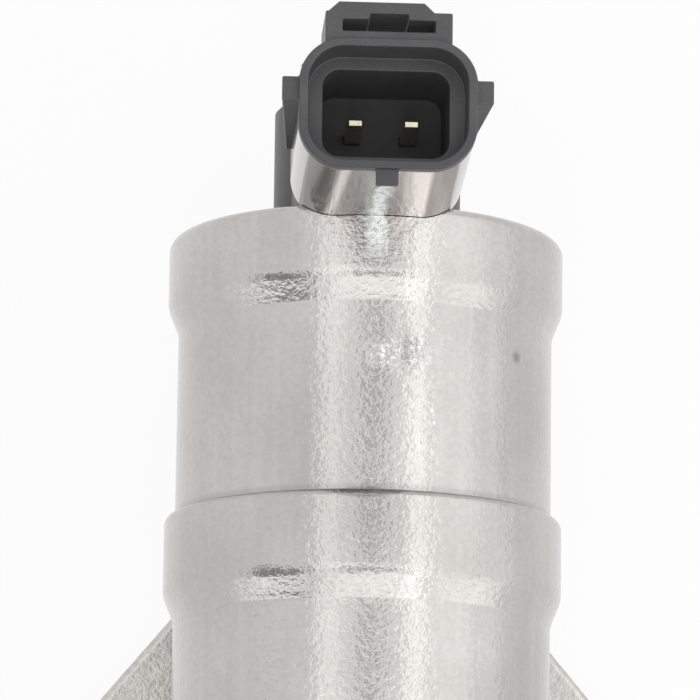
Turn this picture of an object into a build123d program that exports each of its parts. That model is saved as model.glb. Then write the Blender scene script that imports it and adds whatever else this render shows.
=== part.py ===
from build123d import *
import os

os.makedirs("parts", exist_ok=True)

# Idle air control valve. Millimetres. The mounting face is Z = 0, the origin lies midway
# between the two bolts, the valve's axis runs along Y and the connector is at the +Y end.

# Shared frame
AXIS_Z = 28.0            # valve axis above the mounting face
CAN_END = 58.0           # outer face of the can's rolled lip
PRESS = 0.02             # clearance of pressed and moulded-in pieces
RUN = 0.05               # radial running clearance of the sliding pieces
SEAT_GAP = 0.05          # poppet to seat when closed
STROKE = 4.0             # travel of the plunger

# Sheet metal can
WALL = 1.0
TUBE_R = 18.5
BEND_R = 1.2
LIP = 2.0                # rolled lip, inwards from the tube's radius
MOUTH_LEN = 6.8          # straight part of the wide mouth
CONE_LEN = 2.6           # taper from wide to narrow
CONE_BEND = 3.2          # soft bends at both ends of the taper
NOTCH_GAP = 0.05

# Valve housing
BELL_RIM = 30.2          # open end of the housing's bell
BELL_LEN = 7.8
RIM_ROUND = 0.9
LEAD_IN = 0.22           # bevel inside the bell's rim
BODY_END = -22.0
BODY_EDGE = 1.0
BARREL_WALL = 5.5
WEB_FACE = 18.0          # wall between chamber and solenoid
NOSE_LEN = 3.0
NOSE_STEP = 1.1          # seat of the can's seal
POCKET_R = 8.2           # room for the armature's end
POCKET_LEN = 2.0
PEDESTAL_W = 28.0
PEDESTAL_L = 40.0
PEDESTAL_CORNER = 4.0

# Flange
FLANGE_T = 7.0
BOLT_X = 27.0
BOLT_R = 3.3
EAR_R = 8.3
CORNER_R = 4.0
NORTH_X, NORTH_Y = 7.6, 30.0
SOUTH_X, SOUTH_Y = 14.3, -22.0
FLANGE_EDGE = 0.8

# Air ports and their seals
PORT_R = 6.0
PORT_Y = 10.0
GROOVE_WALL = 1.3        # between port and groove
GROOVE_W = 1.6
GROOVE_DEPTH = 1.3

# Solenoid
PLATE_T = 3.0
PLATE_EDGE = 0.4         # bevel that clears the can's bend
CORE_R = 7.55
CORE_LEN = 11.0
SPIGOT_R = 5.0
CORE_BORE = 3.5
CORE_GAP = 0.5           # core to armature at the end of the stroke
GUIDE_WALL = 0.45
BOBBIN_WALL = 0.8
BOBBIN_FLANGE = 1.2
BOBBIN_STEP = 1.5        # flange of the bobbin to the can
WINDING_STEP = 3.0       # winding to the can
ARMATURE_LEN = 14.0
SHAFT_R = 2.0
SHAFT_OVER = 2.0         # shaft's end beyond the rear bush
SHAFT_TAIL = 3.95        # shaft beyond the clip
REAR_BUSH_LEN = 6.0
FRONT_BUSH_R = 4.0

# Valve
SEAT_FACE = 1.5
SEAT_T = 3.0
ORIFICE_R = 7.0
POPPET_OVER = 2.0        # poppet's rim beyond the orifice
POPPET_T = 4.0
POPPET_EDGE = 0.8
HUB_R = 3.6
HUB_LEN = 4.0
CLIP_T = 0.6
CLIP_R = 3.8
NECK_R = 1.7             # groove of the shaft under the clip
SPRING_GAP = 1.15        # hub to the inside of the return spring
SPRING_WIRE = 0.45
SPRING_TURNS = 4
BIAS_GAP = 0.65          # bias spring to the core's bore
BIAS_WIRE = 0.35
BIAS_TURNS = 5
PLUG_SUNK = 1.0
PLUG_T = 4.4
SEAL_W = 1.5
SEAL_DEPTH = 1.4

# Connector
TOWER_H = 16.45          # rim above the can's wide mouth
COLLAR_W = 16.7
COLLAR_D = 12.45
COLLAR_CORNER = 4.3
COLLAR_H = 1.4
FITTING_SHARE = 0.75     # of the collar's wall that ribs, key and bridge keep clear of
LEDGE_DEPTH = 4.2
CAVITY_DEPTH = 14.8
SHROUD_WALL = 0.9        # collar wall at its sides
SHROUD_END = 0.8         # and at its north and south ends
SHROUD_ROUND = 0.2
CAVITY_W = 11.9
CAVITY_D = 8.3
CAVITY_CORNER = 1.6
STEM_GAP = 0.02          # stem to the rear plate
STEM_D = 13.02           # foot of the tower below its collar
STEM_LEAN = 0.8          # near face of the stem, from foot to collar
FOOT_STEP = 0.1          # stem's outline below the saddle, inside its outline above
BOSS_R = 9.3
BOSS_LEN = 15.0
BOSS_EDGE = 0.8
DISC_GAP = 0.2
SCREW_R = 4.0
SCREW_LEN = 10.0
SCREW_SUNK = 1.2
SCREW_SLOT = 1.2
SCREW_SLOT_DEPTH = 1.5
RIB_OUT = 9.9
RIB_IN = 8.8             # half-width of the ribs at their foot
RIB_T = 2.3
RIB_NORTH = 1.42         # ribs north of the tower's middle
RIB_SUNK, RIB_H = 0.8, 19.2
KEY_W = 2.1
KEY_OUT = 1.45
KEY_SUNK = 0.5
BRIDGE_W = 11.9
BRIDGE_WALL = 0.8
BRIDGE_SUNK, BRIDGE_H = 0.5, 8.5
SLOT_W = 8.7
SLOT_D = 1.1
KEYWAY_W = 3.6
KEYWAY_D = 0.6
CROWN_X = -0.7           # crown beside the middle
CROWN_W = 9.9
CROWN_FLAT = 8.0
CROWN_D = 0.9
SADDLE_T = 0.5
SADDLE_STEP = 0.05       # saddle behind the collar's sides
SADDLE_SEAT = 0.1        # saddle's foot beyond the lip's radius
PIN_X = 2.65
PIN_W = 1.5
PIN_T = 0.8
PIN_EDGE = 0.16
PIN_SUNK = 8.0
LEAD_RISE = 12.2         # leads above the axis
LEAD_HOLE_R = 1.6

# Positions that follow
BELL_R = TUBE_R + RUN + WALL
LIP_R = TUBE_R - LIP
NOSE_R = TUBE_R - NOSE_STEP
CHAMBER_R = TUBE_R - BARREL_WALL
LIP_FACE = CAN_END - WALL
PLATE_SOUTH = LIP_FACE - PLATE_T
CORE_FACE = PLATE_SOUTH - CORE_LEN
SEAT_RING = BELL_RIM - BELL_LEN                  # bottom of the bell
NOSE_FACE = SEAT_RING + NOSE_LEN
PLATE2_NORTH = NOSE_FACE + PLATE_T
CAN_FOOT = SEAT_RING + WALL
ARM_NORTH = CORE_FACE - STROKE - CORE_GAP
ARM_SOUTH = ARM_NORTH - ARMATURE_LEN
POCKET_FACE = NOSE_FACE - POCKET_LEN
GUIDE_IN = CORE_R + RUN
GUIDE_OUT = GUIDE_IN + GUIDE_WALL
BOBBIN_IN = GUIDE_OUT + RUN
BOBBIN_OUT = BOBBIN_IN + BOBBIN_WALL
BOBBIN_R = TUBE_R - BOBBIN_STEP
POPPET_FACE = SEAT_FACE + SEAT_GAP
POPPET_BACK = POPPET_FACE + POPPET_T
POPPET_R = ORIFICE_R + POPPET_OVER
CLIP_FACE = POPPET_FACE - CLIP_T
SHAFT_SOUTH = CLIP_FACE - SHAFT_TAIL
SHAFT_NORTH = CORE_FACE + REAR_BUSH_LEN + SHAFT_OVER
PLUG_FACE = BODY_END + PLUG_SUNK
GROOVE_IN = PORT_R + GROOVE_WALL
GROOVE_OUT = GROOVE_IN + GROOVE_W
BOSS_END = LIP_FACE + BOSS_LEN
SCREW_END = BOSS_END - SCREW_SUNK
SCREW_FACE = SCREW_END - SCREW_LEN
TOWER_Y = LIP_FACE + STEM_GAP + STEM_D / 2
RIM_Z = AXIS_Z + BELL_R + TOWER_H
COLLAR_FOOT = RIM_Z - COLLAR_H
COLLAR_SOUTH = TOWER_Y - COLLAR_D / 2
STEM_W = COLLAR_W - 2 * SADDLE_T - 2 * SADDLE_STEP
STEM_CORNER = COLLAR_CORNER - SADDLE_T
SADDLE_FOOT = AXIS_Z + LIP_R + SADDLE_SEAT
RIB_TOP = RIM_Z - RIB_SUNK
RIB_FOOT = RIB_TOP - RIB_H
BRIDGE_FOOT = RIM_Z - BRIDGE_SUNK - BRIDGE_H
SLOT_Y0 = TOWER_Y + COLLAR_D / 2 + BRIDGE_WALL
SLOT_Y1 = SLOT_Y0 + SLOT_D
BRIDGE_SHOULDER = SLOT_Y1 + BRIDGE_WALL
PIN_TIP = RIM_Z - PIN_SUNK
LEAD_Z = AXIS_Z + LEAD_RISE

AXIAL = Plane(origin=(0, 0, AXIS_Z), x_dir=(0, 1, 0), z_dir=(1, 0, 0))
VALVE_AXIS = Axis((0, 0, AXIS_Z), (0, 1, 0))


def section(*points):
    """Closed profile of (position along Y, radius) points."""
    with BuildSketch(AXIAL) as profile:
        with BuildLine():
            Polyline(*points, close=True)
        make_face()
    return profile.sketch


def ring(south, north, inner, outer):
    """Rectangular profile of a plain ring."""
    return section((south, inner), (north, inner), (north, outer), (south, outer))


def coil(south, north, radius, wire, turns):
    """Six-sided wire swept along a helix round the valve axis."""
    height = north - south - 2 * wire
    start = (0, south + wire, AXIS_Z)
    path = Helix(height / turns, height, radius, center=start, direction=(0, 1, 0))
    with BuildSketch(Plane(path @ 0, z_dir=path % 0)) as wire_end:
        RegularPolygon(wire, 6)
    return sweep(wire_end.sketch, path=path, is_frenet=True)


def terminal_profile(tip):
    """Bent blade: upright part up to the given height, lead to the coil."""
    with BuildSketch(Plane.YZ) as profile:
        with Locations((TOWER_Y, (tip + LEAD_Z) / 2)):
            Rectangle(PIN_T, tip - LEAD_Z)
        with Locations(((PLATE_SOUTH + TOWER_Y) / 2, LEAD_Z + PIN_T / 2)):
            Rectangle(TOWER_Y - PLATE_SOUTH, PIN_T)
    return profile.sketch


def upright(width, depth, corner, height):
    """Rounded outline round the tower's centre line, at a height."""
    with BuildSketch(Plane.XY.offset(height)) as outline:
        with Locations((0, TOWER_Y)):
            RectangleRounded(width, depth, corner)
    return outline.sketch


def stem(grow):
    """Outline of the tower's stem on the valve's axis, grown outwards."""
    return upright(STEM_W + 2 * grow, STEM_D + 2 * grow, STEM_CORNER + grow, AXIS_Z)


def collar(shrink, height):
    """Outline of the tower's collar, moved inwards by a share of its wall."""
    width = COLLAR_W - 2 * shrink * SHROUD_WALL
    depth = COLLAR_D - 2 * shrink * SHROUD_END
    return upright(width, depth, COLLAR_CORNER - shrink * SHROUD_WALL, height)


def tower(grow):
    """Stem between the saddle's foot and the collar, with its leaning near face, grown outwards."""
    south = TOWER_Y - STEM_D / 2 - grow
    north = TOWER_Y + STEM_D / 2 + grow
    with BuildPart() as block:
        with BuildSketch(Plane.YZ):
            with BuildLine():
                Polyline(
                    (south, SADDLE_FOOT),
                    (north, SADDLE_FOOT),
                    (north, COLLAR_FOOT),
                    (south + STEM_LEAN, COLLAR_FOOT),
                    close=True,
                )
            make_face()
        extrude(amount=STEM_W / 2 + grow, both=True)
        corners = block.edges().filter_by(lambda edge: edge.bounding_box().size.Z > COLLAR_H)
        fillet(corners, radius=STEM_CORNER + grow)
    return block.part


# Solenoid can: one sheet wall of constant thickness, turned round the axis.
with BuildPart() as solenoid_can:
    with BuildSketch(AXIAL):
        with BuildLine():
            FilletPolyline(
                (CAN_END, LIP_R),
                (CAN_END, BELL_R),
                (CAN_END - MOUTH_LEN / 2, BELL_R),
                radius=BEND_R,
            )
            FilletPolyline(
                (CAN_END - MOUTH_LEN / 2, BELL_R),
                (CAN_END - MOUTH_LEN, BELL_R),
                (CAN_END - MOUTH_LEN - CONE_LEN, TUBE_R),
                (CAN_FOOT, TUBE_R),
                radius=CONE_BEND,
            )
            offset(amount=WALL, side=Side.LEFT)
        make_face()
    revolve(axis=VALVE_AXIS)
    extrude(stem(SADDLE_T + NOTCH_GAP + FOOT_STEP), amount=SADDLE_FOOT - AXIS_Z, mode=Mode.SUBTRACT)
    add(tower(SADDLE_T + NOTCH_GAP), mode=Mode.SUBTRACT)
solenoid_can.part.label = "solenoid_can"
export_step(solenoid_can.part, "parts/solenoid_can.step")

# Valve housing: flange, pedestal and barrel in one casting, then bored.
with BuildPart() as valve_housing:
    with BuildSketch():
        with Locations((-BOLT_X, 0), (BOLT_X, 0)):
            Circle(EAR_R)
        with Locations((-NORTH_X, NORTH_Y), (NORTH_X, NORTH_Y)):
            Circle(CORNER_R)
        with Locations((-SOUTH_X, SOUTH_Y), (SOUTH_X, SOUTH_Y)):
            Circle(CORNER_R)
        make_hull()
    extrude(amount=FLANGE_T)
    fillet(valve_housing.edges().group_by(Axis.Z)[-1], radius=FLANGE_EDGE)
    with BuildSketch():
        RectangleRounded(PEDESTAL_W, PEDESTAL_L, PEDESTAL_CORNER)
    extrude(amount=AXIS_Z - CHAMBER_R + WALL)
    with BuildSketch(AXIAL):
        with BuildLine():
            FilletPolyline(
                (SEAT_RING - 2 * CONE_LEN, TUBE_R),
                (SEAT_RING - CONE_LEN, TUBE_R),
                (SEAT_RING, BELL_R),
                (SEAT_RING + CONE_LEN, BELL_R),
                radius=CONE_BEND,
            )
            Polyline(
                (SEAT_RING + CONE_LEN, BELL_R),
                (BELL_RIM, BELL_R),
                (BELL_RIM, 0),
                (BODY_END, 0),
                (BODY_END, TUBE_R),
                (SEAT_RING - 2 * CONE_LEN, TUBE_R),
            )
        outer = make_face()
        fillet(outer.vertices().group_by(Axis.Y)[-1].sort_by(Axis.Z)[-1:], RIM_ROUND)
        fillet(outer.vertices().group_by(Axis.Y)[0].sort_by(Axis.Z)[-1:], BODY_EDGE)
    revolve(axis=VALVE_AXIS)
    bored = section(
        (BODY_END, 0),
        (BODY_END, CHAMBER_R),
        (WEB_FACE, CHAMBER_R),
        (WEB_FACE, FRONT_BUSH_R + PRESS),
        (POCKET_FACE, FRONT_BUSH_R + PRESS),
        (POCKET_FACE, POCKET_R),
        (NOSE_FACE, POCKET_R),
        (NOSE_FACE, NOSE_R),
        (SEAT_RING, NOSE_R),
        (SEAT_RING, TUBE_R + RUN),
        (BELL_RIM - LEAD_IN, TUBE_R + RUN),
        (BELL_RIM, TUBE_R + RUN + LEAD_IN),
        (BELL_RIM, 0),
    )
    revolve(bored, axis=VALVE_AXIS, mode=Mode.SUBTRACT)
    with BuildSketch():
        with Locations((-BOLT_X, 0), (BOLT_X, 0)):
            Circle(BOLT_R)
    extrude(amount=FLANGE_T, mode=Mode.SUBTRACT)
    with BuildSketch():
        with Locations((0, -PORT_Y), (0, PORT_Y)):
            Circle(PORT_R)
    extrude(amount=AXIS_Z, mode=Mode.SUBTRACT)
    with BuildSketch():
        with Locations((0, -PORT_Y), (0, PORT_Y)):
            Circle(GROOVE_OUT)
            Circle(GROOVE_IN, mode=Mode.SUBTRACT)
    extrude(amount=GROOVE_DEPTH, mode=Mode.SUBTRACT)
valve_housing.part.label = "valve_housing"
export_step(valve_housing.part, "parts/valve_housing.step")

# Rear plate: under the lip, stepped for the saddle, drilled for core and leads.
with BuildPart() as rear_plate:
    blank = section(
        (PLATE_SOUTH, SPIGOT_R + PRESS),
        (LIP_FACE, SPIGOT_R + PRESS),
        (LIP_FACE, TUBE_R - PLATE_EDGE),
        (LIP_FACE - PLATE_EDGE, TUBE_R),
        (PLATE_SOUTH, TUBE_R),
    )
    revolve(blank, axis=VALVE_AXIS)
    add(tower(SADDLE_T + NOTCH_GAP), mode=Mode.SUBTRACT)
    with BuildSketch(Plane(origin=(0, PLATE_SOUTH, LEAD_Z + PIN_T / 2), x_dir=(1, 0, 0), z_dir=(0, 1, 0))):
        with Locations((-PIN_X, 0), (PIN_X, 0)):
            Circle(LEAD_HOLE_R)
    extrude(amount=PLATE_T, mode=Mode.SUBTRACT)
rear_plate.part.label = "rear_plate"
export_step(rear_plate.part, "parts/rear_plate.step")

# What stands out of the connector's collar: side ribs, key and lock bridge.
with BuildPart() as fittings:
    with BuildSketch(Plane(origin=(0, TOWER_Y + RIB_NORTH, 0), x_dir=(1, 0, 0), z_dir=(0, -1, 0))):
        with BuildLine():
            Polyline(
                (-RIB_OUT, RIB_TOP),
                (RIB_OUT, RIB_TOP),
                (RIB_IN, RIB_FOOT),
                (-RIB_IN, RIB_FOOT),
                close=True,
            )
        make_face()
    extrude(amount=RIB_T / 2, both=True)
    with BuildSketch(Plane.XY.offset(RIM_Z - KEY_SUNK)):
        with Locations((0, COLLAR_SOUTH)):
            Rectangle(KEY_W, 2 * KEY_OUT)
    extrude(amount=KEY_SUNK - COLLAR_H)
    with BuildSketch(Plane.XY.offset(BRIDGE_FOOT)):
        with BuildLine():
            Polyline(
                (-BRIDGE_W / 2, TOWER_Y),
                (-BRIDGE_W / 2, BRIDGE_SHOULDER),
                (CROWN_X - CROWN_W / 2, BRIDGE_SHOULDER),
                (CROWN_X - CROWN_FLAT / 2, BRIDGE_SHOULDER + CROWN_D),
                (CROWN_X + CROWN_FLAT / 2, BRIDGE_SHOULDER + CROWN_D),
                (CROWN_X + CROWN_W / 2, BRIDGE_SHOULDER),
                (BRIDGE_W / 2, BRIDGE_SHOULDER),
                (BRIDGE_W / 2, TOWER_Y),
                close=True,
            )
        make_face()
    extrude(amount=BRIDGE_H)
    with BuildSketch(Plane.XY.offset(BRIDGE_FOOT)):
        with Locations((0, (SLOT_Y0 + SLOT_Y1) / 2)):
            Rectangle(SLOT_W, SLOT_D)
        with Locations((0, (SLOT_Y0 + SLOT_Y1 + KEYWAY_D) / 2)):
            Rectangle(KEYWAY_W, SLOT_D + KEYWAY_D)
    extrude(amount=BRIDGE_H, mode=Mode.SUBTRACT)
    extrude(collar(FITTING_SHARE, RIM_Z - LEDGE_DEPTH), amount=LEDGE_DEPTH, mode=Mode.SUBTRACT)

# Connector moulding: end disc, boss, leaning stem and collar in one piece, then hollowed.
with BuildPart() as connector_body:
    revolve(ring(LIP_FACE, CAN_END, 0, LIP_R - DISC_GAP), axis=VALVE_AXIS)
    boss = section(
        (LIP_FACE, 0),
        (LIP_FACE, BOSS_R),
        (BOSS_END - BOSS_EDGE, BOSS_R),
        (BOSS_END, BOSS_R - BOSS_EDGE),
        (BOSS_END, 0),
    )
    revolve(boss, axis=VALVE_AXIS)
    extrude(stem(-FOOT_STEP), amount=SADDLE_FOOT - AXIS_Z)
    add(tower(0))
    extrude(collar(0, COLLAR_FOOT), amount=COLLAR_H)
    extrude(collar(1, RIM_Z - LEDGE_DEPTH), amount=LEDGE_DEPTH, mode=Mode.SUBTRACT)
    fillet(connector_body.edges().group_by(Axis.Z)[-1], radius=SHROUD_ROUND)
    add(fittings.part)
    cavity = upright(CAVITY_W, CAVITY_D, CAVITY_CORNER, RIM_Z - CAVITY_DEPTH)
    extrude(cavity, amount=CAVITY_DEPTH, mode=Mode.SUBTRACT)
    revolve(ring(LIP_FACE, BOSS_END, 0, SCREW_R + PRESS), axis=VALVE_AXIS, mode=Mode.SUBTRACT)
    for side in (-PIN_X, PIN_X):
        blade = Pos(side, 0, 0) * terminal_profile(PIN_TIP)
        extrude(blade, amount=PIN_W / 2, both=True, mode=Mode.SUBTRACT)
connector_body.part.label = "connector_body"
export_step(connector_body.part, "parts/connector_body.step")

# Connector saddle: bright sheet guard round the near half of the stem.
with BuildPart() as connector_saddle:
    add(tower(SADDLE_T))
    add(tower(PRESS), mode=Mode.SUBTRACT)
    with BuildSketch(Plane.XY.offset(SADDLE_FOOT)):
        with Locations((0, TOWER_Y + STEM_D / 2)):
            Rectangle(2 * STEM_W, STEM_D)
    extrude(amount=COLLAR_FOOT - SADDLE_FOOT, mode=Mode.SUBTRACT)
connector_saddle.part.label = "connector_saddle"
export_step(connector_saddle.part, "parts/connector_saddle.step")

# Terminals: bent blades, moulded in, with bevelled tips.
for node, side in (("terminal_left", -PIN_X), ("terminal_right", PIN_X)):
    with BuildPart() as terminal:
        extrude(Pos(side, 0, 0) * terminal_profile(PIN_TIP), amount=PIN_W / 2, both=True)
        chamfer(terminal.faces().sort_by(Axis.Z)[-1].edges(), length=PIN_EDGE)
    terminal.part.label = node
    export_step(terminal.part, f"parts/{node}.step")

# Fixed core with its spigot through the rear plate.
with BuildPart() as fixed_core:
    revolve(
        section(
            (CORE_FACE, CORE_BORE),
            (LIP_FACE, CORE_BORE),
            (LIP_FACE, SPIGOT_R),
            (PLATE_SOUTH, SPIGOT_R),
            (PLATE_SOUTH, CORE_R),
            (CORE_FACE, CORE_R),
        ),
        axis=VALVE_AXIS,
    )
fixed_core.part.label = "fixed_core"
export_step(fixed_core.part, "parts/fixed_core.step")

with BuildPart() as rear_bush:
    revolve(ring(CORE_FACE, CORE_FACE + REAR_BUSH_LEN, SHAFT_R + RUN, CORE_BORE - PRESS), axis=VALVE_AXIS)
rear_bush.part.label = "rear_bush"
export_step(rear_bush.part, "parts/rear_bush.step")

# Adjusting screw with its driver slot, and the spring it sets.
with BuildPart() as adjusting_screw:
    revolve(ring(SCREW_FACE, SCREW_END, 0, SCREW_R), axis=VALVE_AXIS)
    with BuildSketch(Plane(origin=(0, SCREW_END, AXIS_Z), x_dir=(1, 0, 0), z_dir=(0, 1, 0))):
        Rectangle(2 * SCREW_R, SCREW_SLOT)
    extrude(amount=-SCREW_SLOT_DEPTH, mode=Mode.SUBTRACT)
adjusting_screw.part.label = "adjusting_screw"
export_step(adjusting_screw.part, "parts/adjusting_screw.step")

with BuildPart() as bias_spring:
    add(coil(SHAFT_NORTH, SCREW_FACE, CORE_BORE - BIAS_GAP - BIAS_WIRE, BIAS_WIRE, BIAS_TURNS))
bias_spring.part.label = "bias_spring"
export_step(bias_spring.part, "parts/bias_spring.step")

# Coil former, winding and guide tube.
with BuildPart() as coil_bobbin:
    revolve(
        section(
            (PLATE2_NORTH, BOBBIN_IN),
            (PLATE_SOUTH, BOBBIN_IN),
            (PLATE_SOUTH, BOBBIN_R),
            (PLATE_SOUTH - BOBBIN_FLANGE, BOBBIN_R),
            (PLATE_SOUTH - BOBBIN_FLANGE, BOBBIN_OUT),
            (PLATE2_NORTH + BOBBIN_FLANGE, BOBBIN_OUT),
            (PLATE2_NORTH + BOBBIN_FLANGE, BOBBIN_R),
            (PLATE2_NORTH, BOBBIN_R),
        ),
        axis=VALVE_AXIS,
    )
coil_bobbin.part.label = "coil_bobbin"
export_step(coil_bobbin.part, "parts/coil_bobbin.step")

with BuildPart() as coil_winding:
    wound = ring(
        PLATE2_NORTH + BOBBIN_FLANGE,
        PLATE_SOUTH - BOBBIN_FLANGE,
        BOBBIN_OUT,
        TUBE_R - WINDING_STEP,
    )
    revolve(wound, axis=VALVE_AXIS)
coil_winding.part.label = "coil_winding"
export_step(coil_winding.part, "parts/coil_winding.step")

with BuildPart() as guide_tube:
    revolve(ring(NOSE_FACE, PLATE_SOUTH, GUIDE_IN, GUIDE_OUT), axis=VALVE_AXIS)
guide_tube.part.label = "guide_tube"
export_step(guide_tube.part, "parts/guide_tube.step")

with BuildPart() as front_plate:
    revolve(ring(NOSE_FACE, PLATE2_NORTH, BOBBIN_IN, NOSE_R), axis=VALVE_AXIS)
front_plate.part.label = "front_plate"
export_step(front_plate.part, "parts/front_plate.step")

with BuildPart() as can_seal:
    revolve(ring(SEAT_RING, CAN_FOOT, NOSE_R + PRESS, TUBE_R), axis=VALVE_AXIS)
can_seal.part.label = "can_seal"
export_step(can_seal.part, "parts/can_seal.step")

with BuildPart() as front_bush:
    revolve(ring(WEB_FACE, POCKET_FACE, SHAFT_R + RUN, FRONT_BUSH_R), axis=VALVE_AXIS)
front_bush.part.label = "front_bush"
export_step(front_bush.part, "parts/front_bush.step")

# Plunger: armature, shaft, poppet and clip move together.
with BuildPart() as armature:
    revolve(ring(ARM_SOUTH, ARM_NORTH, SHAFT_R, CORE_R), axis=VALVE_AXIS)
armature.part.label = "armature"
export_step(armature.part, "parts/armature.step")

with BuildPart() as valve_shaft:
    revolve(
        section(
            (SHAFT_SOUTH, 0),
            (SHAFT_SOUTH, SHAFT_R),
            (CLIP_FACE, SHAFT_R),
            (CLIP_FACE, NECK_R),
            (POPPET_FACE, NECK_R),
            (POPPET_FACE, SHAFT_R),
            (SHAFT_NORTH, SHAFT_R),
            (SHAFT_NORTH, 0),
        ),
        axis=VALVE_AXIS,
    )
valve_shaft.part.label = "valve_shaft"
export_step(valve_shaft.part, "parts/valve_shaft.step")

with BuildPart() as valve_poppet:
    revolve(
        section(
            (POPPET_FACE, SHAFT_R),
            (POPPET_FACE, POPPET_R - POPPET_EDGE),
            (POPPET_FACE + POPPET_EDGE, POPPET_R),
            (POPPET_BACK, POPPET_R),
            (POPPET_BACK, HUB_R),
            (POPPET_BACK + HUB_LEN, HUB_R),
            (POPPET_BACK + HUB_LEN, SHAFT_R),
        ),
        axis=VALVE_AXIS,
    )
valve_poppet.part.label = "valve_poppet"
export_step(valve_poppet.part, "parts/valve_poppet.step")

with BuildPart() as poppet_clip:
    revolve(ring(CLIP_FACE, POPPET_FACE, NECK_R, CLIP_R), axis=VALVE_AXIS)
poppet_clip.part.label = "poppet_clip"
export_step(poppet_clip.part, "parts/poppet_clip.step")

with BuildPart() as return_spring:
    add(coil(POPPET_BACK, WEB_FACE, HUB_R + SPRING_GAP + SPRING_WIRE, SPRING_WIRE, SPRING_TURNS))
return_spring.part.label = "return_spring"
export_step(return_spring.part, "parts/return_spring.step")

with BuildPart() as valve_seat:
    revolve(ring(SEAT_FACE - SEAT_T, SEAT_FACE, ORIFICE_R, CHAMBER_R - PRESS), axis=VALVE_AXIS)
valve_seat.part.label = "valve_seat"
export_step(valve_seat.part, "parts/valve_seat.step")

# End plug with a seal groove round it.
with BuildPart() as end_plug:
    revolve(ring(PLUG_FACE, PLUG_FACE + PLUG_T, 0, CHAMBER_R - PRESS), axis=VALVE_AXIS)
    middle = PLUG_FACE + PLUG_T / 2
    revolve(
        ring(middle - SEAL_W / 2, middle + SEAL_W / 2, CHAMBER_R - SEAL_DEPTH, CHAMBER_R),
        axis=VALVE_AXIS,
        mode=Mode.SUBTRACT,
    )
end_plug.part.label = "end_plug"
export_step(end_plug.part, "parts/end_plug.step")

with BuildPart() as plug_seal:
    revolve(
        ring(middle - SEAL_W / 2, middle + SEAL_W / 2, CHAMBER_R - SEAL_DEPTH, CHAMBER_R),
        axis=VALVE_AXIS,
    )
plug_seal.part.label = "plug_seal"
export_step(plug_seal.part, "parts/plug_seal.step")

# Port seals: plain rings that fill the grooves of the mounting face.
for node, place in (("port_seal_north", PORT_Y), ("port_seal_south", -PORT_Y)):
    with BuildPart() as port_seal:
        with BuildSketch():
            with Locations((0, place)):
                Circle(GROOVE_OUT)
                Circle(GROOVE_IN, mode=Mode.SUBTRACT)
        extrude(amount=GROOVE_DEPTH)
    port_seal.part.label = node
    export_step(port_seal.part, f"parts/{node}.step")
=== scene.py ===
import math
import bmesh
import bpy
from mathutils import Matrix, Vector


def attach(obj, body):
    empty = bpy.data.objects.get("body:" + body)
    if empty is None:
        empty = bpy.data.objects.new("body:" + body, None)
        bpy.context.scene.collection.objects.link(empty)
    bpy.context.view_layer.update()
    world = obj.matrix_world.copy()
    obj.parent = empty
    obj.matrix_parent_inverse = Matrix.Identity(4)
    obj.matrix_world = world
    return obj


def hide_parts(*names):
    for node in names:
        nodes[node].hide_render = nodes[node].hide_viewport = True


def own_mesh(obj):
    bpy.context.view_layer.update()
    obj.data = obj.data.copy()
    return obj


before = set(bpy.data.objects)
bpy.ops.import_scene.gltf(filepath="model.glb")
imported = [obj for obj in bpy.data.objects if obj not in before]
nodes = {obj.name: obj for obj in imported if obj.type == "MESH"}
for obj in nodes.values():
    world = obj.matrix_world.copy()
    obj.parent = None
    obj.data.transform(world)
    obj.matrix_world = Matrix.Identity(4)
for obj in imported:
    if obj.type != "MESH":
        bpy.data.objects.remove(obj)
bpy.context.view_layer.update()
mm = 0.001                                # lengths below are in mm, noise scales in 1/m
axisHeight = 28.0                         # valve axis above the mounting face
eastWay, northWay, southWay = (1, 0, 0), (0, 1, 0), (0, -1, 0)
upWay, downWay = (0, 0, 1), (0, 0, -1)
print("frame loaded,", len(nodes), "pieces")


# shader maths

class Wire:
    def __init__(self, paint, socket):
        self.paint, self.socket = paint, socket

    def calc(self, operation, other, swap=False):
        first, second = (other, self) if swap else (self, other)
        return self.paint.node("ShaderNodeMath", {"operation": operation}, {0: first, 1: second})

    def __add__(self, other): return self.calc("ADD", other)
    def __radd__(self, other): return self.calc("ADD", other)
    def __sub__(self, other): return self.calc("SUBTRACT", other)
    def __rsub__(self, other): return self.calc("SUBTRACT", other, True)
    def __mul__(self, other): return self.calc("MULTIPLY", other)
    def __truediv__(self, other): return self.calc("DIVIDE", other)
    def __abs__(self): return self.paint.node("ShaderNodeMath", {"operation": "ABSOLUTE"}, {0: self})

    def swing(self):                                    # noise about zero
        return self - 0.5

    def ease(self, low, high, start=0.0, end=1.0):      # smooth step between two values
        return self.paint.node("ShaderNodeMapRange", {"interpolation_type": "SMOOTHSTEP"},
                               {"Value": self, "From Min": low, "From Max": high, "To Min": start, "To Max": end})

    def fall(self, low, high):                          # from 1 down to 0
        return self.ease(low, high, 1.0, 0.0)


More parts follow.
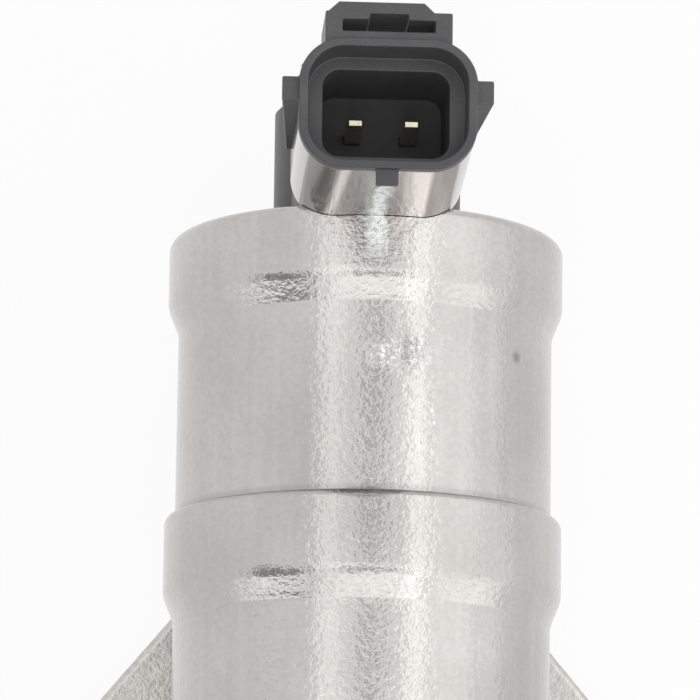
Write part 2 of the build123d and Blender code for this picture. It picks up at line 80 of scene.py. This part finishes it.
class Paint:
    def __init__(self, name, library=bpy.data.materials, shader="Principled BSDF"):
        self.owner = library.new(name)
        self.owner.use_nodes = True
        self.tree = self.owner.node_tree
        self.shader = self.tree.nodes[shader]
        self.place = self.node("ShaderNodeTexCoord", {}, {}, "Object")

    def node(self, kind, settings, sockets, out=0):
        made = self.tree.nodes.new(kind)
        for key, value in settings.items():
            setattr(made, key, value)
        for key, value in sockets.items():
            if isinstance(value, Wire):
                self.tree.links.new(value.socket, made.inputs[key])
            else:
                made.inputs[key].default_value = value
        return Wire(self, made.outputs[out])

    def noise(self, scale, detail=3.0, rough=0.5, stretch=(1, 1, 1)):
        spot = self.node("ShaderNodeMapping", {}, {"Vector": self.place, "Scale": stretch})
        return self.node("ShaderNodeTexNoise", {},
                         {"Vector": spot, "Scale": scale, "Detail": detail, "Roughness": rough})

    def along(self, direction, start=(0, 0, 0)):        # distance along a direction, in mm
        spot = self.node("ShaderNodeVectorMath", {"operation": "SUBTRACT"}, {0: self.place, 1: Vector(start) * mm})
        way = Vector(direction).normalized() / mm
        return self.node("ShaderNodeVectorMath", {"operation": "DOT_PRODUCT"}, {0: spot, 1: way}, "Value")

    def upperHalf(self):                                # 1 above the valve axis
        return self.along(upWay, (0, 0, axisHeight)).ease(0.0, 1.0)

    def near(self, centre, reach):                      # 1 at a point, 0 from reach on
        far = self.node("ShaderNodeVectorMath", {"operation": "DISTANCE"},
                        {0: self.place, 1: Vector(centre) * mm}, "Value")
        return far.fall(0.0, reach * mm)

    def blend(self, share, first, second):
        return self.node("ShaderNodeMix", {"data_type": "RGBA"}, {0: share, 6: first, 7: second}, 2)

    def bump(self, height, depth, strength=1.0, under=None):
        links = {"Height": height, "Distance": depth * mm, "Strength": strength}
        if under:
            links["Normal"] = under
        return self.node("ShaderNodeBump", {}, links, "Normal")

    def glow(self, colour):
        return self.node("ShaderNodeEmission", {}, {"Color": colour, "Strength": 1.0})

    def seenRays(self):                                 # 1 for rays that look rather than light
        path = "ShaderNodeLightPath"
        share = self.node(path, {}, {}, "Is Camera Ray")
        for ray in ("Is Glossy Ray", "Is Transmission Ray"):
            share = share.calc("MAXIMUM", self.node(path, {}, {}, ray))
        return share

    def surface(self, wire):
        self.tree.links.new(wire.socket, self.tree.nodes["Material Output"].inputs["Surface"])

    def set(self, **values):
        for key, value in values.items():
            socket = self.shader.inputs[key.replace("_", " ")]
            if isinstance(value, Wire):
                self.tree.links.new(value.socket, socket)
            else:
                socket.default_value = value


def tint(red, green, blue):
    return (red, green, blue, 1.0)


def grey(tone):
    return tint(tone, tone, tone)


# metal of can and barrel

satin = dict(light=tint(0.592, 0.566, 0.547), dark=tint(0.46, 0.439, 0.423), shade=(0.3, 0.75),
             shares=(0.45, 0.3, 0.25),                             # of cloud, grain and drawn lines
             cloud=dict(scale=90.0),
             grain=dict(scale=2300.0, detail=2.0, rough=0.6, stretch=(0.75, 0.8, 0.75)),
             drawn=dict(scale=700.0, detail=4.0, rough=0.6, stretch=(1.0, 0.035, 1.0)),    # faint lines along it
             rough=0.145, cloudRough=0.08, grainRough=0.06, grainDepth=0.078, grainBite=0.8)
bend = dict(reach=0.57, radius=3.2, bite=0.9)                      # soft inner bend below each taper, drawn crisper
seam = dict(place=30.2, dark=tint(0.11, 0.1, 0.095), middle=-0.8, half=2.9, curve=0.35, share=0.48,
            canReach=(0.18, 0.34), bellReach=(0.8, 1.1),           # painted shade and dark reflection where the can enters the bell
            film=(0.2, 0.8), filmShare=0.2, inner=(-1.0, -0.8))


def seamShade(paint, side, reach):
    away = paint.along((0, side, 0), (0, seam["place"], 0))
    bow = paint.along(eastWay, (seam["middle"], 0, 0)) / seam["half"]
    # painted shade and a painted dark reflection, darkest over the middle of the upper half; a fainter dark band runs
    # all round the joint
    lens = (away + bow * bow * seam["curve"]).fall(*reach) * paint.upperHalf() * seam["share"]
    film = away.ease(*seam["film"], seam["filmShare"], 0.0)
    return lens.calc("MAXIMUM", film) * away.ease(*seam["inner"])


def satinCoat(paint, bendPlace, seamShadeMask):
    cloud, grain, drawn = [paint.noise(**satin[key]) for key in ("cloud", "grain", "drawn")]
    cloudShare, grainShare, drawnShare = satin["shares"]
    shade = (cloud * cloudShare + grain * grainShare + drawn * drawnShare).ease(*satin["shade"])
    colour = paint.blend(shade, satin["dark"], satin["light"])
    # painted shade at the joint, blended into the metal's colour
    colour = paint.blend(seamShadeMask, colour, seam["dark"])
    rough = satin["rough"] + cloud.swing() * satin["cloudRough"] + grain.swing() * satin["grainRough"]
    corner = (bend["reach"] - abs(paint.along(northWay, (0, bendPlace, 0)))).calc("MAXIMUM", 0.0)
    normal = paint.bump(corner * corner * (-0.5 / bend["radius"]), 1.0, bend["bite"])
    normal = paint.bump(grain, satin["grainDepth"], satin["grainBite"], normal)
    return colour, rough, normal, grain


# marks on the can

dab = dict(colour=tint(0.68, 0.75, 0.71), bright=grey(1.0), middle=-0.2, width=2.1,      # pale paint by the connector
           wander=dict(scale=420.0), wanderReach=2.4, lean=0.03, level=47.5,
           body=(0.24, 0.58), core=0.4, coreFade=0.5,
           mottle=dict(scale=1900.0, rough=0.65), mottled=(0.28, 0.48), thin=0.3, brightMottled=(0.36, 0.56),
           south=51.4, fade=3.2, lowest=43.0, canDull=0.45, canRough=0.15, canDepth=0.08,
           guardNorth=59.0, guardDull=0.6, guardRough=0.25, guardDepth=0.12, bite=0.7)
scuffs = [dict(place=(0.9, 43.4, 46.4), reach=2.3, scale=2300.0, depth=0.14, pale=0.8),      # pitted patch
          dict(place=(4.3, 43.6, 46.0), reach=2.6, scale=1000.0, depth=0.5, pale=0.6),       # wrinkles beside it
          dict(place=(7.0, 44.3, 45.1), reach=2.0, scale=1300.0, depth=0.12, pale=0.15)]
scuffTone = dict(colour=tint(0.93, 0.92, 0.91), detail=2.0, crests=(0.5, 0.68))
scratch = dict(start=(5.55, 38.5, 45.6), end=(5.9, 36.3, 45.5), width=0.2, core=0.3, fade=0.6,
               colour=tint(0.95, 0.94, 0.93), crests=(0.45, 0.65), share=0.7)
speck = dict(place=(14.05, 44.6, 40.0), reach=0.95, colour=tint(0.2, 0.19, 0.185), share=0.75)


def dabMask(paint):
    wander = paint.noise(**dab["wander"]).swing() * dab["wanderReach"]
    lean = paint.along(upWay, (0, 0, dab["level"])) * dab["lean"]
    across = abs(paint.along(eastWay, (dab["middle"], 0, 0)) + wander - lean)
    inner, outer = [share * dab["width"] for share in dab["body"]]
    mottle = paint.noise(**dab["mottle"])
    mask = across.fall(inner, outer) * mottle.ease(*dab["mottled"], dab["thin"], 1.0)
    core = across.fall(0.0, dab["width"] * dab["core"]).ease(0.0, dab["coreFade"])
    return mask, paint.blend(mottle.ease(*dab["brightMottled"]) * core, dab["colour"], dab["bright"])


def scratchMark(paint, grain):
    start = Vector(scratch["start"])
    line = Vector(scratch["end"]) - start
    width, fade = scratch["width"], scratch["fade"]
    aside = abs(paint.along((line.y, -line.x, 0), start)).fall(width * scratch["core"], width)
    length = paint.along(line, start)
    mark = aside * length.ease(0.0, fade) * length.fall(line.length - fade, line.length) * paint.upperHalf()
    return mark * grain.ease(*scratch["crests"]) * scratch["share"]


def canSteel(name, bendPlace):
    paint = Paint(name)
    colour, rough, normal, grain = satinCoat(paint, bendPlace, seamShade(paint, 1, seam["canReach"]))
    mask, paintColour = dabMask(paint)
    mask = mask * paint.along(northWay, (0, dab["south"], 0)).ease(0.0, dab["fade"])
    mask = mask * paint.along(upWay, (0, 0, dab["lowest"])).ease(0.0, 1.0)
    colour = paint.blend(mask, colour, paintColour)
    colour = paint.blend(paint.near(speck["place"], speck["reach"]) * speck["share"], colour, speck["colour"])
    normal = paint.bump(mask, dab["canDepth"], dab["bite"], normal)
    for scuff in scuffs:
        spot = paint.near(scuff["place"], scuff["reach"])
        worn = paint.noise(scuff["scale"], scuffTone["detail"])
        normal = paint.bump(worn * spot, scuff["depth"], 1.0, normal)
        colour = paint.blend(spot * worn.ease(*scuffTone["crests"]) * scuff["pale"], colour, scuffTone["colour"])
    colour = paint.blend(scratchMark(paint, grain), colour, scratch["colour"])
    paint.set(Base_Color=colour, Roughness=rough + mask * dab["canRough"], Normal=normal,
              Metallic=1.0 - mask * dab["canDull"])
    return paint.owner


# housing, cast below the barrel

casting = dict(top=9.0, fade=0.6, dark=tint(0.48, 0.463, 0.44), light=tint(0.635, 0.614, 0.585), shade=(0.25, 0.75),
               lumps=dict(scale=1500.0, detail=4.0, rough=0.65), rough=0.18, roughSwing=0.2, depth=0.05, bite=0.8)


def housingCasting(name, bendPlace):
    paint = Paint(name)
    colour, rough, normal, _ = satinCoat(paint, bendPlace, seamShade(paint, -1, seam["bellReach"]))
    cast = paint.along(downWay, (0, 0, casting["top"])).ease(-casting["fade"], casting["fade"])
    lumps = paint.noise(**casting["lumps"])
    castColour = paint.blend(lumps.ease(*casting["shade"]), casting["dark"], casting["light"])
    rough = rough + cast * (casting["rough"] + lumps.swing() * casting["roughSwing"])
    normal = paint.bump(lumps * cast, casting["depth"], casting["bite"], normal)
    paint.set(Base_Color=paint.blend(cast, colour, castColour), Roughness=rough, Normal=normal, Metallic=1.0)
    return paint.owner


canMetal = canSteel("canMetal", bendPlace=48.6)
housingMetal = housingCasting("housingMetal", bendPlace=19.8)
print("satin metals ready")


# black moulding of the connector

mould = dict(light=tint(0.095, 0.094, 0.098), dark=tint(0.069, 0.068, 0.072), deep=tint(0.062, 0.061, 0.067),
             grain=dict(scale=3800.0, rough=0.6), cloud=dict(scale=300.0, detail=2.0), shares=(0.55, 0.45),
             shade=(0.3, 0.7), depth=0.02, bite=0.5, rough=0.42, roughSwing=0.15, wellRough=0.2,
             wellHeights=(52.5, 60.5), wellUnder=(45.0, 48.5), wellMiddle=(0, 63.53, 0), wellHalf=(6.1, 4.3),
             wellEdge=0.3, wellShare=0.5,                          # painted shade in the plug's deep well
             near=(0.5, 4.0), nearShare=0.75)                      # painted shade on the near side


def blackMoulding(name):
    paint = Paint(name)
    grain, cloud = paint.noise(**mould["grain"]), paint.noise(**mould["cloud"])
    grainShare, cloudShare = mould["shares"]
    shade = (grain * grainShare + cloud * cloudShare).ease(*mould["shade"])
    colour = paint.blend(shade, mould["dark"], mould["light"])
    # painted shade: darker deep in the well and on the plug's near side
    well = paint.along(upWay).fall(*mould["wellHeights"]) * paint.along(upWay).ease(*mould["wellUnder"])
    for way, half in zip((eastWay, northWay), mould["wellHalf"]):
        well = well * abs(paint.along(way, mould["wellMiddle"])).fall(half, half + mould["wellEdge"])
    nearSide = paint.along(southWay, mould["wellMiddle"]).ease(*mould["near"]) * mould["nearShare"]
    paintedShade = (well * mould["wellShare"]).calc("MAXIMUM", nearSide)
    paint.set(Base_Color=paint.blend(paintedShade, colour, mould["deep"]),
              Roughness=mould["rough"] + grain.swing() * mould["roughSwing"] + well * mould["wellRough"],
              Normal=paint.bump(grain, mould["depth"], mould["bite"]))
    return paint.owner


blackMould = blackMoulding("blackMould")


# sheet metal of the guard, with two bright bands of painted reflection

sheet = dict(light=tint(0.46, 0.44, 0.43), dark=tint(0.29, 0.272, 0.262), reflectionTint=tint(0.97, 0.94, 0.92),
             shares=(0.8, 0.2), shade=(0.3, 0.7), rough=0.13, roughSwing=0.08,
             streak=dict(scale=420.0, rough=0.55, stretch=(1.0, 1.0, 0.05)),       # drawn lines up the guard
             fine=dict(scale=2400.0, detail=2.0), depth=0.02, bite=0.5,
             left=-4.3, leftFade=(0.1, 0.75), leftShare=0.85, leftDrift=0.06, level=54.0,
             rise=(1.0, 3.7), riseFrom=0.1, drop=(4.1, 4.7), rightStart=(0.0, 0.6), facing=60.0,
             streaky=(0.2, 0.5, 0.75, 1.0), corner=(-5.8, -5.2), cornerShare=0.5)


def guardSteel(name):
    paint = Paint(name)
    streak, fine = paint.noise(**sheet["streak"]), paint.noise(**sheet["fine"])
    across = paint.along(eastWay)
    drift = paint.along(downWay, (0, 0, sheet["level"])) * sheet["leftDrift"]
    # two bright bands of painted reflection on the side that faces south
    leftBand = abs(across - sheet["left"] + drift).fall(*sheet["leftFade"]) * sheet["leftShare"]
    rightBand = across.ease(*sheet["rise"], sheet["riseFrom"], 1.0) * across.fall(*sheet["drop"])
    rightBand = rightBand * across.ease(*sheet["rightStart"])
    facing = paint.along(southWay, (0, sheet["facing"], 0)).ease(0.0, 1.0)
    paintedReflection = leftBand.calc("MAXIMUM", rightBand) * facing * streak.ease(*sheet["streaky"])
    streakShare, fineShare = sheet["shares"]
    shade = (streak * streakShare + fine * fineShare).ease(*sheet["shade"])
    colour = paint.blend(shade, sheet["dark"], sheet["light"])
    # painted light: the guard's left corner is lightened towards the light tint
    colour = paint.blend(across.ease(*sheet["corner"], sheet["cornerShare"], 0.0), colour, sheet["light"])
    colour = paint.blend(paintedReflection, colour, sheet["reflectionTint"])
    mask, paintColour = dabMask(paint)
    mask = mask * paint.along(southWay, (0, dab["guardNorth"], 0)).ease(0.0, 1.0)
    normal = paint.bump(mask, dab["guardDepth"], dab["bite"], paint.bump(streak, sheet["depth"], sheet["bite"]))
    paint.set(Base_Color=paint.blend(mask, colour, paintColour), Metallic=1.0 - mask * dab["guardDull"],
              Roughness=sheet["rough"] + fine.swing() * sheet["roughSwing"] + mask * dab["guardRough"],
              Normal=normal)
    return paint.owner


guardMetal = guardSteel("guardSteel")


# plain finishes of the other pieces

plain = dict(shares=(0.6, 0.4), shade=(0.3, 0.7), grainRough=0.6, cloudScale=0.08, cloudDetail=2.0,
             roughSwing=0.15, bite=0.5)
plainFacts = dict(
    brightSteel=dict(light=tint(0.70, 0.69, 0.68), dark=tint(0.62, 0.61, 0.60), rough=0.18, metal=1.0,
                     scale=900.0, depth=0.004, stretch=(1, 0.05, 1)),
    platedSteel=dict(light=tint(0.6, 0.6, 0.58), dark=tint(0.5, 0.5, 0.48), rough=0.34, metal=1.0,
                     scale=1600.0, depth=0.008),
    paleGold=dict(light=tint(0.90, 0.84, 0.68), dark=tint(0.80, 0.72, 0.54), rough=0.24, metal=1.0,
                  scale=2400.0, depth=0.004),
    bronze=dict(light=tint(0.55, 0.38, 0.2), dark=tint(0.44, 0.29, 0.15), rough=0.42, metal=1.0,
                scale=3000.0, depth=0.01),
    copperWire=dict(light=tint(0.6, 0.27, 0.13), dark=tint(0.36, 0.14, 0.06), rough=0.35, metal=1.0,
                    scale=600.0, depth=0.12, stretch=(1, 5, 1)),
    bobbinPlastic=dict(light=tint(0.07, 0.07, 0.072), dark=tint(0.05, 0.05, 0.052), rough=0.5, metal=0.0,
                       scale=3000.0, depth=0.01),
    springSteel=dict(light=tint(0.55, 0.55, 0.54), dark=tint(0.42, 0.42, 0.41), rough=0.3, metal=1.0,
                     scale=2400.0, depth=0.006),
    turnedMetal=dict(light=tint(0.6, 0.585, 0.57), dark=tint(0.49, 0.477, 0.465), rough=0.3, metal=1.0,
                     scale=1500.0, depth=0.008),
    sealRubber=dict(light=tint(0.04, 0.04, 0.041), dark=tint(0.028, 0.028, 0.028), rough=0.62, metal=0.0,
                    scale=2600.0, depth=0.015))


def plainFinish(name, facts):
    paint = Paint(name)
    grain = paint.noise(facts["scale"], rough=plain["grainRough"], stretch=facts.get("stretch", (1, 1, 1)))
    cloud = paint.noise(facts["scale"] * plain["cloudScale"], plain["cloudDetail"])
    grainShare, cloudShare = plain["shares"]
    shade = (grain * grainShare + cloud * cloudShare).ease(*plain["shade"])
    paint.set(Base_Color=paint.blend(shade, facts["dark"], facts["light"]), Metallic=facts["metal"],
              Roughness=facts["rough"] + grain.swing() * plain["roughSwing"],
              Normal=paint.bump(grain, facts["depth"], plain["bite"]))
    return paint.owner


finish = {name: plainFinish(name, facts) for name, facts in plainFacts.items()}
wearers = {
    canMetal: ["solenoid_can"],
    housingMetal: ["valve_housing"],
    blackMould: ["connector_body"],
    guardMetal: ["connector_saddle"],
    finish["paleGold"]: ["terminal_left", "terminal_right"],
    finish["platedSteel"]: ["rear_plate", "front_plate", "fixed_core", "armature", "adjusting_screw"],
    finish["bronze"]: ["rear_bush", "front_bush", "guide_tube"],
    finish["copperWire"]: ["coil_winding"],
    finish["bobbinPlastic"]: ["coil_bobbin"],
    finish["springSteel"]: ["return_spring", "bias_spring", "poppet_clip"],
    finish["brightSteel"]: ["valve_shaft"],
    finish["turnedMetal"]: ["valve_poppet", "valve_seat", "end_plug"],
    finish["sealRubber"]: ["can_seal", "plug_seal", "port_seal_north", "port_seal_south"],
}
for material, names in wearers.items():
    for name in names:
        slots = nodes[name].data.materials
        slots.clear()
        slots.append(material)
print("finishes on", sum(len(names) for names in wearers.values()), "pieces")


# new pieces in place of CAD nodes

crispAngle = 34.0                         # edges sharper than this stay crisp


def addPiece(name, shape, material, node):
    mesh = bpy.data.meshes.new(name)
    for face in shape.faces:
        face.smooth = True
    shape.to_mesh(mesh)
    shape.free()
    mesh.set_sharp_from_angle(angle=math.radians(crispAngle))
    mesh.materials.append(material)
    piece = bpy.data.objects.new(name, mesh)
    bpy.context.scene.collection.objects.link(piece)
    weighted = piece.modifiers.new("evenShading", "WEIGHTED_NORMAL")
    weighted.keep_sharp = True
    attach(piece, "housing")
    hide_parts(node)
    return piece


# connector moulding and its guard, with broken edges

moulding = dict(node="connector_body", weld=0.002, flat=0.6, sharp=60.0, width=0.16, steps=2)
guard = dict(node="connector_saddle", weld=0.002, flat=0.6, sharp=60.0, width=0.1, steps=2)


def brokenEdges(name, facts, material):
    shape = bmesh.new()
    shape.from_mesh(nodes[facts["node"]].data)
    bmesh.ops.remove_doubles(shape, verts=shape.verts, dist=facts["weld"] * mm)
    bmesh.ops.dissolve_limit(shape, angle_limit=math.radians(facts["flat"]), verts=shape.verts, edges=shape.edges)
    sharp = [edge for edge in shape.edges if edge.calc_face_angle(0.0) > math.radians(facts["sharp"])]
    bmesh.ops.bevel(shape, geom=sharp, offset=facts["width"] * mm, offset_type="OFFSET", segments=facts["steps"],
                    profile=0.5, affect="EDGES", material=-1, clamp_overlap=False)
    addPiece(name, shape, material, facts["node"])


brokenEdges("connectorMoulding", moulding, blackMould)
brokenEdges("connectorGuard", guard, guardMetal)
print("connector pieces ready")


# springs of round wire, with closed end turns

returnSpring = dict(node="return_spring", south=5.55, north=18.0, radius=5.2, wire=0.45, open=3.5, closed=0.8)
biasSpring = dict(node="bias_spring", south=51.0, north=60.8, radius=2.5, wire=0.35, open=4.5, closed=0.8)
coil = dict(around=28, sides=10, closedPitch=2.04)                 # steps a turn, wire's sides, pitch in wire radii


def woundSpring(name, facts):
    wire, closed, length = facts["wire"], facts["closed"], facts["north"] - facts["south"]
    closedRise = closed * coil["closedPitch"] * wire
    openRise = length - 2 * wire - 2 * closedRise
    shape = bmesh.new()
    start = Vector((0, facts["south"] + wire, axisHeight + facts["radius"])) * mm
    turn = Matrix.Translation(start) @ Matrix.Rotation(math.pi / 2, 4, "Y")
    made = bmesh.ops.create_circle(shape, cap_ends=True, segments=coil["sides"], radius=wire * mm, matrix=turn)
    last = made["verts"] + shape.edges[:] + shape.faces[:]
    for turns, rise in ((closed, closedRise), (facts["open"], openRise), (closed, closedRise)):
        steps = round(turns * coil["around"])
        swept = bmesh.ops.spin(shape, geom=last, cent=Vector((0, 0, axisHeight)) * mm, axis=northWay,
                               dvec=(0, rise / steps * mm, 0), angle=turns * 2 * math.pi, steps=steps,
                               use_merge=False, use_normal_flip=False)
        last = swept["geom_last"]
    bmesh.ops.recalc_face_normals(shape, faces=shape.faces)
    spring = addPiece(name, shape, finish["springSteel"], facts["node"])
    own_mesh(spring)


woundSpring("returnSpring", returnSpring)
woundSpring("biasSpring", biasSpring)
print("springs wound")


# port seals with a rounded section

portSeals = dict(radius=8.1, halfWidth=0.79, halfHeight=0.64, sides=14, steps=72, weld=0.001,
                 places={"port_seal_north": 10.0, "port_seal_south": -10.0})


def sealRing(node, place):
    shape = bmesh.new()
    start = Vector((portSeals["radius"], place, portSeals["halfHeight"])) * mm
    turn = Matrix.Translation(start) @ Matrix.Rotation(math.pi / 2, 4, "X")
    oval = Matrix.Diagonal((portSeals["halfWidth"], portSeals["halfHeight"], 1, 1))
    bmesh.ops.create_circle(shape, cap_ends=False, segments=portSeals["sides"], radius=mm, matrix=turn @ oval)
    bmesh.ops.spin(shape, geom=shape.verts[:] + shape.edges[:], cent=Vector((0, place, 0)) * mm, axis=upWay,
                   angle=2 * math.pi, steps=portSeals["steps"], use_merge=True)
    bmesh.ops.remove_doubles(shape, verts=shape.verts, dist=portSeals["weld"] * mm)
    bmesh.ops.recalc_face_normals(shape, faces=shape.faces)
    addPiece(node.replace("_", "") + "Ring", shape, finish["sealRubber"], node)


for node, place in portSeals["places"].items():
    sealRing(node, place)
print("seals ready")


# studio

aim = Vector((0, 45.0, axisHeight))                                # lamps and cards face this point
paper = dict(size=6000.0, drop=0.1, tone=0.92, rough=0.9, glow=0.93)      # floor, a hair under the mounting face
worldTone = dict(lighting=0.5, seen=1.0)
lampHeight = 700.0
lampGain = 4.0                                                     # energy for each area and power of a lamp
strips = dict(length=1400.0, lamps=[(-22.5, 12.0, 0.36), (4.0, 36.0, 0.17), (30.0, 13.0, 0.66),
                                    (53.0, 28.0, 0.32), (78.0, 22.0, 0.16)])       # angle, width in degrees, power
front = dict(angle=14.0, south=34.0, wide=900.0, deep=200.0, power=0.32)
fill = dict(place=(-20.0, -255.0, 690.0), wide=190.0, power=6.0)   # from the near side, for what isn't metal
cards = [                                                          # flags and reflectors that only gloss shows
    dict(place=(-495.0, -145.0, 410.0), wide=360.0, deep=210.0, tone=0.35, ends=0.35, turn=-3.0),
    dict(place=(-516.0, -317.0, 298.0), wide=720.0, deep=75.0, tone=1.65, ends=1.0, turn=28.0),
    dict(place=(520.0, -255.0, 290.0), wide=620.0, deep=170.0, tone=1.65, ends=1.16, turn=-25.0),
    dict(place=(20.0, -30.0, 690.0), wide=640.0, deep=90.0, tone=1.6, ends=1.6, turn=0.0),
    dict(place=(32.0, 165.0, 715.0), wide=110.0, deep=230.0, tone=0.62, ends=0.62, turn=0.0),
    dict(place=(28.0, -130.0, 715.0), wide=380.0, deep=100.0, tone=0.5, ends=0.5, turn=0.0)]
cardFade = (0.15, 0.5)                                             # shares of a card's width where it pales off


def stagePlane(name, wide, deep):
    mesh = bpy.data.meshes.new(name)
    shape = bmesh.new()
    bmesh.ops.create_grid(shape, x_segments=1, y_segments=1, size=0.5)
    bmesh.ops.scale(shape, verts=shape.verts, vec=Vector((wide, deep, 1.0)))
    shape.to_mesh(mesh)
    shape.free()
    plane = bpy.data.objects.new(name, mesh)
    bpy.context.scene.collection.objects.link(plane)
    return plane


def floorPlane():
    floor = stagePlane("floor", paper["size"] * mm, paper["size"] * mm)
    floor.location.z = -paper["drop"] * mm
    paint = Paint("floorPaper")
    paint.set(Base_Color=grey(paper["tone"]), Roughness=paper["rough"])
    share = paint.seenRays() * paper["glow"]
    matt = Wire(paint, paint.shader.outputs[0])
    paint.surface(paint.node("ShaderNodeMixShader", {}, {0: share, 1: matt, 2: paint.glow(grey(1.0))}))
    floor.data.materials.append(paint.owner)


def worldLight():
    paint = Paint("studioWorld", bpy.data.worlds, "Background")
    bpy.context.scene.world = paint.owner
    paint.set(Color=grey(1.0), Strength=paint.seenRays().ease(0.0, 1.0, worldTone["lighting"], worldTone["seen"]))


def faceValve(thing, turn=0.0):
    back = (thing.location - aim * mm).normalized()
    right = (Vector(eastWay) - back * back.x).normalized()
    right.rotate(Matrix.Rotation(math.radians(turn), 3, back))
    thing.rotation_euler = Matrix((right, back.cross(right), back)).transposed().to_euler()


def areaLamp(name, place, wide, deep, power):
    lamp = bpy.data.lights.new(name, "AREA")
    lamp.shape = "RECTANGLE"
    lamp.size = wide * mm
    lamp.size_y = deep * mm
    lamp.energy = power * lamp.size * lamp.size_y * lampGain
    thing = bpy.data.objects.new(name, lamp)
    bpy.context.scene.collection.objects.link(thing)
    thing.location = Vector(place) * mm
    faceValve(thing)
    return thing


def flagCard(name, facts):
    card = stagePlane(name, facts["wide"] * mm, facts["deep"] * mm)
    card.location = Vector(facts["place"]) * mm
    faceValve(card, facts["turn"])
    card.visible_camera = card.visible_diffuse = card.visible_shadow = card.visible_transmission = False
    paint = Paint(name)
    aside = abs(paint.along(eastWay)).ease(*[share * facts["wide"] for share in cardFade])
    paint.surface(paint.glow(paint.blend(aside, grey(facts["tone"]), grey(facts["ends"]))))
    card.data.materials.append(paint.owner)


floorPlane()
worldLight()
for number, (angle, width, power) in enumerate(strips["lamps"]):
    lean = math.radians(angle)
    place = (math.sin(lean) * lampHeight, aim.y, axisHeight + math.cos(lean) * lampHeight)
    wide = 2 * lampHeight * math.tan(math.radians(width / 2))
    areaLamp("strip%d" % number, place, wide, strips["length"], power)
aside, south = [lampHeight * math.tan(math.radians(front[key])) for key in ("angle", "south")]
areaLamp("front", (aside, aim.y - south, axisHeight + lampHeight), front["wide"], front["deep"], front["power"])
areaLamp("fill", fill["place"], fill["wide"], fill["wide"], fill["power"]).visible_glossy = False
for number, facts in enumerate(cards):
    flagCard("card%d" % number, facts)


# camera

view = dict(tilt=11.6, lean=2.8, roll=-0.79, distance=500.0, target=(-1.48, 47.41, axisHeight),
            focus=5040.0, imageWidth=700.0, sensor=36.0, nearest=10.0, farthest=10000.0)    # focus in pixels


def photoCamera():
    data = bpy.data.cameras.new("photoCamera")
    camera = bpy.data.objects.new("photoCamera", data)
    bpy.context.scene.collection.objects.link(camera)
    tilt, lean = math.radians(view["tilt"]), math.radians(view["lean"])
    back = Vector((-math.sin(lean), -math.sin(tilt) * math.cos(lean), math.cos(tilt) * math.cos(lean)))
    up = (Vector(northWay) - back * back.y).normalized()
    up.rotate(Matrix.Rotation(math.radians(-view["roll"]), 3, back))
    turn = Matrix((up.cross(back), up, back)).transposed().to_4x4()
    camera.matrix_world = Matrix.Translation((Vector(view["target"]) + back * view["distance"]) * mm) @ turn
    data.sensor_width = view["sensor"]
    data.lens = view["focus"] * view["sensor"] / view["imageWidth"]
    data.clip_start = view["nearest"] * mm
    data.clip_end = view["farthest"] * mm
    bpy.context.scene.camera = camera


photoCamera()
bpy.context.scene.view_settings.view_transform = "Standard"
print("studio and camera ready")
